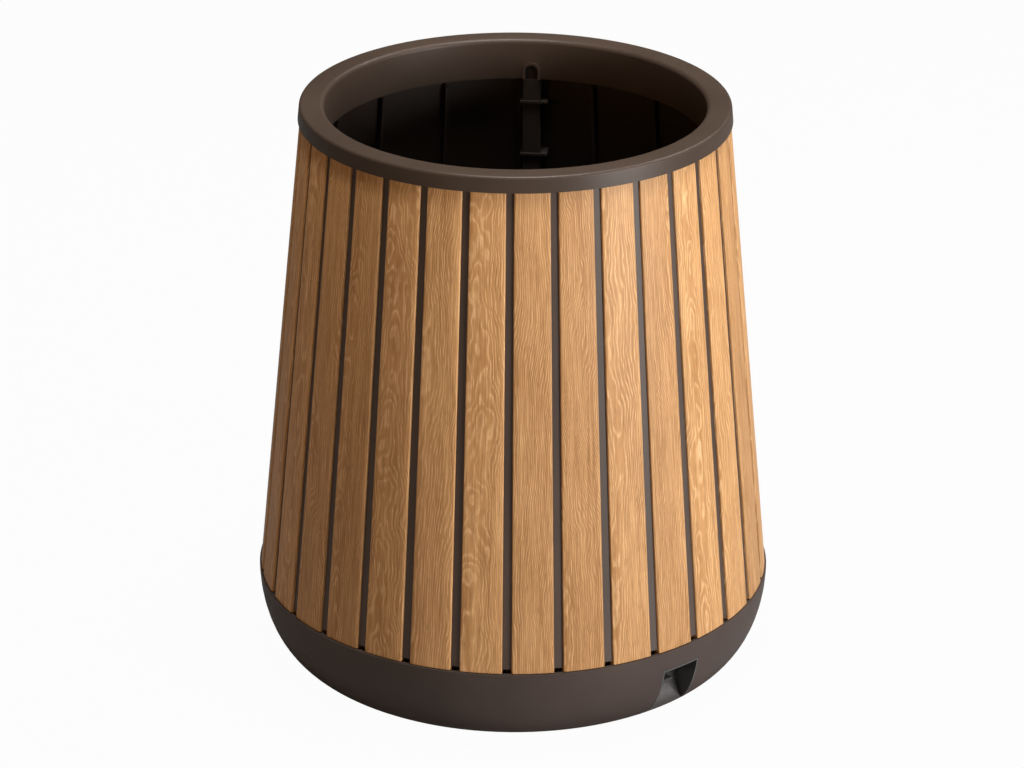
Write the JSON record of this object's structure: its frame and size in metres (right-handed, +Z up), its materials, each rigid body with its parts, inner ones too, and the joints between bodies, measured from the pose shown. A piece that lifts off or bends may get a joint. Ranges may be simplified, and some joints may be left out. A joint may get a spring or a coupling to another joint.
{
  "type": "planter",
  "caption": "Tapered round floor planter clad in upright slats, with a rim ring, water reservoir, float gauge and drain plug.",
  "frame": {"origin": "centre of the planter's base, on the floor", "axes": "+Z up, -Y towards the viewer of the picture, +X to the viewer's right"},
  "size_m": [0.483, 0.483, 0.5365],
  "materials": {
    "base_plastic": "matt dark brown, finely grained",
    "rim_plastic": "satin dark brown",
    "wall_plastic": "matt dark brown",
    "pan_plastic": "matt black-brown",
    "grate_plastic": "matt black-brown",
    "cup_plastic": "matt black",
    "gauge_plastic": "matt dark brown",
    "chute_plastic": "glossy black",
    "plug_plastic": "glossy black",
    "seal_rubber": "matt black",
    "float_foam": "closed-cell foam",
    "flag_plastic": "red plastic",
    "slat_wood": "oiled oak"
  },
  "bodies": {
    "planter": {"base_bowl": "base_plastic", "reservoir_pan": "pan_plastic", "pan_plate": "pan_plastic", "drain_chute": "chute_plastic", "wall_shell": "wall_plastic", "rim_ring": "rim_plastic", "soil_grate": "grate_plastic", "gauge_duct": "gauge_plastic", "gauge_clips": "gauge_plastic", "gauge_cap": "gauge_plastic", "wick_cup_1": "cup_plastic", "wick_cup_2": "cup_plastic", "wick_cup_3": "cup_plastic", "wick_cup_4": "cup_plastic", "slat_01": "slat_wood", "slat_02": "slat_wood", "slat_03": "slat_wood", "slat_04": "slat_wood", "slat_05": "slat_wood", "slat_06": "slat_wood", "slat_07": "slat_wood", "slat_08": "slat_wood", "slat_09": "slat_wood", "slat_10": "slat_wood", "slat_11": "slat_wood", "slat_12": "slat_wood", "slat_13": "slat_wood", "slat_14": "slat_wood", "slat_15": "slat_wood", "slat_16": "slat_wood", "slat_17": "slat_wood", "slat_18": "slat_wood", "slat_19": "slat_wood", "slat_20": "slat_wood", "slat_21": "slat_wood", "slat_22": "slat_wood", "slat_23": "slat_wood", "slat_24": "slat_wood", "slat_25": "slat_wood", "slat_26": "slat_wood", "slat_27": "slat_wood", "slat_28": "slat_wood", "slat_29": "slat_wood", "slat_30": "slat_wood", "slat_31": "slat_wood", "slat_32": "slat_wood"},
    "float": {"gauge_float": "float_foam", "gauge_stem": "flag_plastic"},
    "plug": {"drain_plug": "plug_plastic", "drain_seal": "seal_rubber"}
  },
  "joints": [
    {"name": "float_rise", "type": "slide", "parent": "planter", "child": "float", "axis": [0, 0, 1], "range_m": [0, 0.035]},
    {"name": "plug_pull", "type": "slide", "parent": "planter", "child": "plug", "axis": [0.6428, -0.766, 0], "range_m": [0, 0.045]}
  ]
}
